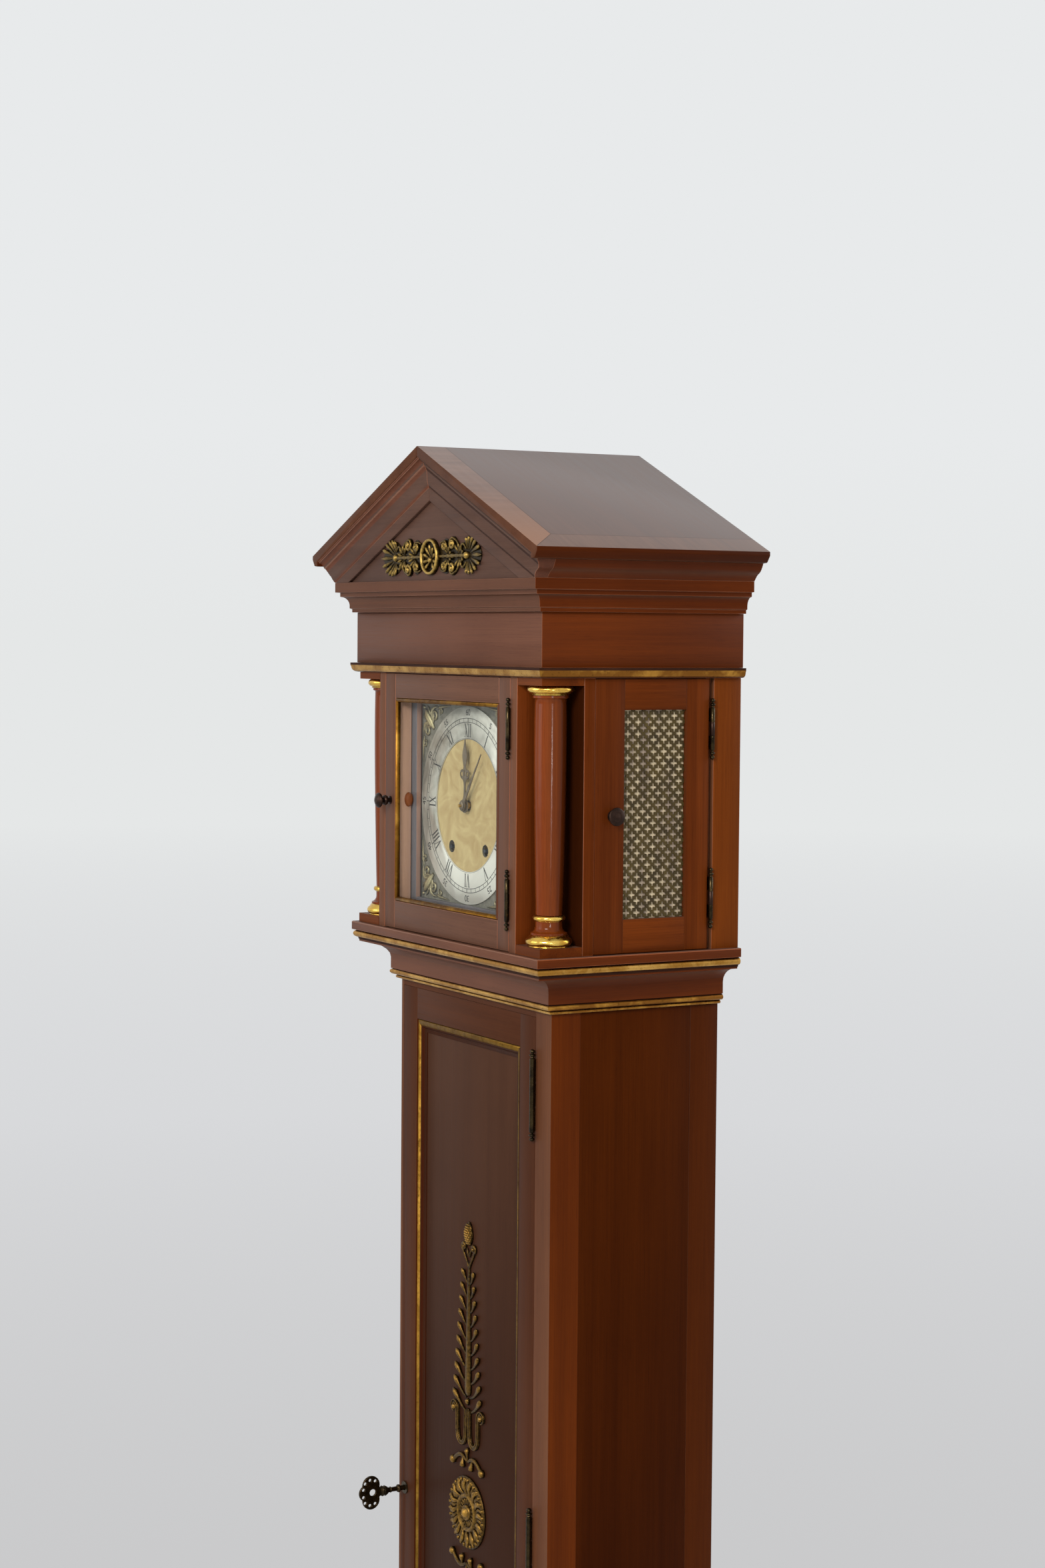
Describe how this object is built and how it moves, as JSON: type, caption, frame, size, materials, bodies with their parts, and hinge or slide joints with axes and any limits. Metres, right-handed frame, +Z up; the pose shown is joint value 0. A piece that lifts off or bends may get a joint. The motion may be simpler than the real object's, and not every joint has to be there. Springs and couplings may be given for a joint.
{
  "type": "longcase clock",
  "caption": "Tall pendulum clock in a hinged, panelled wooden case with a gabled slide-off hood, free corner columns, gilt mounts and a weight-driven movement.",
  "frame": {"origin": "on the floor, under the middle of the clock's outline", "axes": "+X to the right seen from the front, +Y from the front to the back, +Z up"},
  "size_m": [0.554, 0.298, 2.2359],
  "materials": {
    "wood_front": "polished mahogany, straight ribbon grain, satin wax",
    "wood_side": "polished mahogany, warm red brown, satin wax",
    "wood_plain": "plain sawn and stained board",
    "gilt": "cast and fire gilt brass, satin with burnished edges",
    "bronze": "darkened brass, worn bright on the barrels",
    "movement_brass": "brushed brass",
    "dial_brass": "matted brass disc in a greyed dial plate",
    "silvered": "silvered brass, brushed and lightly tarnished",
    "steel": "blued and bright steel",
    "hand_metal": "dark gilt steel",
    "glass": "thin clear pane",
    "grille": "pierced brass sheet over cream cloth",
    "gut": "twisted gut line"
  },
  "bodies": {
    "case": {"base_boards": "wood_front", "case_mouldings": "wood_front", "case_gilt_beads": "gilt", "trunk_front_frame": "wood_front", "trunk_side_panels": "wood_side", "backboard": "wood_plain", "seatboard": "wood_plain", "trunk_hinge_pins": "bronze", "movement_plates": "movement_brass", "plate_pillars": "movement_brass", "dial_plate": "dial_brass", "chapter_ring": "silvered", "bell": "movement_brass", "going_line": "gut", "strike_line": "gut"},
    "hood": {"hood_base_board": "wood_front", "hood_gilt_mouldings": "gilt", "hood_posts": "wood_side", "frieze_boards": "wood_front", "cornice_mouldings": "wood_front", "raking_mouldings": "wood_front", "tympanum": "wood_front", "roof_boards": "wood_front", "pediment_mount": "gilt", "hood_columns": "wood_side", "column_gilt_rings": "gilt", "dial_mask": "wood_plain", "hood_hinge_pins": "bronze"},
    "hood_door": {"hood_door_frame": "wood_front", "hood_door_bead": "gilt", "hood_door_glass": "glass", "hood_door_brass": "bronze"},
    "left_door": {"side_door_left": "wood_side", "side_grille_left": "grille"},
    "right_door": {"side_door_right": "wood_side", "side_grille_right": "grille"},
    "trunk_door": {"trunk_door_frame": "wood_front", "trunk_door_panel": "wood_front", "trunk_door_bead": "gilt", "trunk_door_mounts": "gilt", "trunk_door_hinges": "bronze", "trunk_door_lock": "bronze"},
    "bolt": {"lock_bolt": "steel"},
    "key": {"trunk_door_key": "bronze"},
    "minute": {"minute_hand": "hand_metal", "centre_arbor": "movement_brass"},
    "hour": {"hour_hand": "hand_metal", "hour_wheel": "movement_brass"},
    "motion": {"minute_wheel": "movement_brass"},
    "great": {"great_wheel": "movement_brass"},
    "intermediate": {"intermediate_wheel": "movement_brass"},
    "third": {"third_wheel": "movement_brass"},
    "escape": {"escape_wheel": "movement_brass"},
    "swing": {"anchor_and_crutch": "steel", "pendulum": "steel"},
    "going_drum": {"going_barrel": "movement_brass"},
    "strike_drum": {"strike_barrel": "movement_brass"},
    "going_mass": {"going_weight": "movement_brass"},
    "strike_mass": {"strike_weight": "movement_brass"},
    "hammer": {"strike_hammer": "steel"}
  },
  "joints": [
    {"name": "hood_slide", "type": "slide", "parent": "case", "child": "hood", "axis": [0, -1, 0], "range_m": [0, 0.3]},
    {"name": "hood_door_hinge", "type": "hinge", "parent": "hood", "child": "hood_door", "pos_m": [0.15275, -0.113, 1.82], "axis": [0, 0, 1], "range_deg": [0, 160]},
    {"name": "right_door_hinge", "type": "hinge", "parent": "hood", "child": "right_door", "pos_m": [0.2248, 0.1094, 1.82], "axis": [0, 0, 1], "range_deg": [0, 110]},
    {"name": "left_door_hinge", "type": "hinge", "parent": "hood", "child": "left_door", "pos_m": [-0.2248, 0.1094, 1.82], "axis": [0, 0, -1], "range_deg": [0, 110]},
    {"name": "trunk_door_hinge", "type": "hinge", "parent": "case", "child": "trunk_door", "pos_m": [0.1473, -0.0752, 0.986], "axis": [0, 0, 1], "range_deg": [0, 160]},
    {"name": "key_turn", "type": "hinge", "parent": "trunk_door", "child": "key", "pos_m": [-0.166, -0.071, 0.976], "axis": [0, -1, 0], "range_deg": [0, 180]},
    {"name": "bolt_slide", "type": "slide", "parent": "trunk_door", "child": "bolt", "axis": [-1, 0, 0], "range_m": [0, 0.0045]},
    {"name": "minute_turn", "type": "hinge", "parent": "case", "child": "minute", "pos_m": [0, 0, 1.824], "axis": [0, 1, 0], "continuous": true},
    {"name": "hour_turn", "type": "hinge", "parent": "case", "child": "hour", "pos_m": [0, 0, 1.824], "axis": [0, 1, 0], "continuous": true},
    {"name": "motion_turn", "type": "hinge", "parent": "case", "child": "motion", "pos_m": [-0.01555, 0, 1.83956], "axis": [0, 1, 0], "continuous": true},
    {"name": "great_turn", "type": "hinge", "parent": "case", "child": "great", "pos_m": [0.0406, 0, 1.774], "axis": [0, 1, 0], "continuous": true},
    {"name": "intermediate_turn", "type": "hinge", "parent": "case", "child": "intermediate", "pos_m": [0.02341, 0, 1.81363], "axis": [0, 1, 0], "continuous": true},
    {"name": "third_turn", "type": "hinge", "parent": "case", "child": "third", "pos_m": [-0.01, 0, 1.84178], "axis": [0, 1, 0], "continuous": true},
    {"name": "escape_turn", "type": "hinge", "parent": "case", "child": "escape", "pos_m": [0, 0, 1.85593], "axis": [0, 1, 0], "continuous": true},
    {"name": "pendulum_swing", "type": "hinge", "parent": "case", "child": "swing", "pos_m": [0, 0, 1.87893], "axis": [0, 1, 0], "range_deg": [-2.5, 2.5]},
    {"name": "going_winding", "type": "hinge", "parent": "case", "child": "going_drum", "pos_m": [0.0406, 0, 1.774], "axis": [0, 1, 0], "range_deg": [0, 5400]},
    {"name": "strike_winding", "type": "hinge", "parent": "case", "child": "strike_drum", "pos_m": [-0.0406, 0, 1.774], "axis": [0, 1, 0], "range_deg": [0, 5400]},
    {"name": "going_weight_rise", "type": "slide", "parent": "case", "child": "going_mass", "axis": [0, 0, 1], "range_m": [0, 1.088], "deforming": ["going_line"]},
    {"name": "strike_weight_rise", "type": "slide", "parent": "case", "child": "strike_mass", "axis": [0, 0, 1], "range_m": [0, 1.088], "deforming": ["strike_line"]},
    {"name": "hammer_lift", "type": "hinge", "parent": "case", "child": "hammer", "pos_m": [-0.054, 0, 1.874], "axis": [0, -1, 0], "range_deg": [-4, 12], "stiffness_Nm_per_rad": 0.2}
  ],
  "couplings": [
    {"joint": "bolt_slide", "follows": "key_turn", "m_per_rad": 0.0014324},
    {"joint": "hour_turn", "follows": "minute_turn", "ratio": 0.083333},
    {"joint": "motion_turn", "follows": "minute_turn", "ratio": -1},
    {"joint": "intermediate_turn", "follows": "minute_turn", "ratio": -0.14286},
    {"joint": "great_turn", "follows": "minute_turn", "ratio": 0.017857},
    {"joint": "third_turn", "follows": "minute_turn", "ratio": -7.5},
    {"joint": "escape_turn", "follows": "minute_turn", "ratio": 60},
    {"joint": "going_winding", "follows": "going_weight_rise", "rad_per_m": 86.58},
    {"joint": "strike_winding", "follows": "strike_weight_rise", "rad_per_m": 86.58}
  ]
}
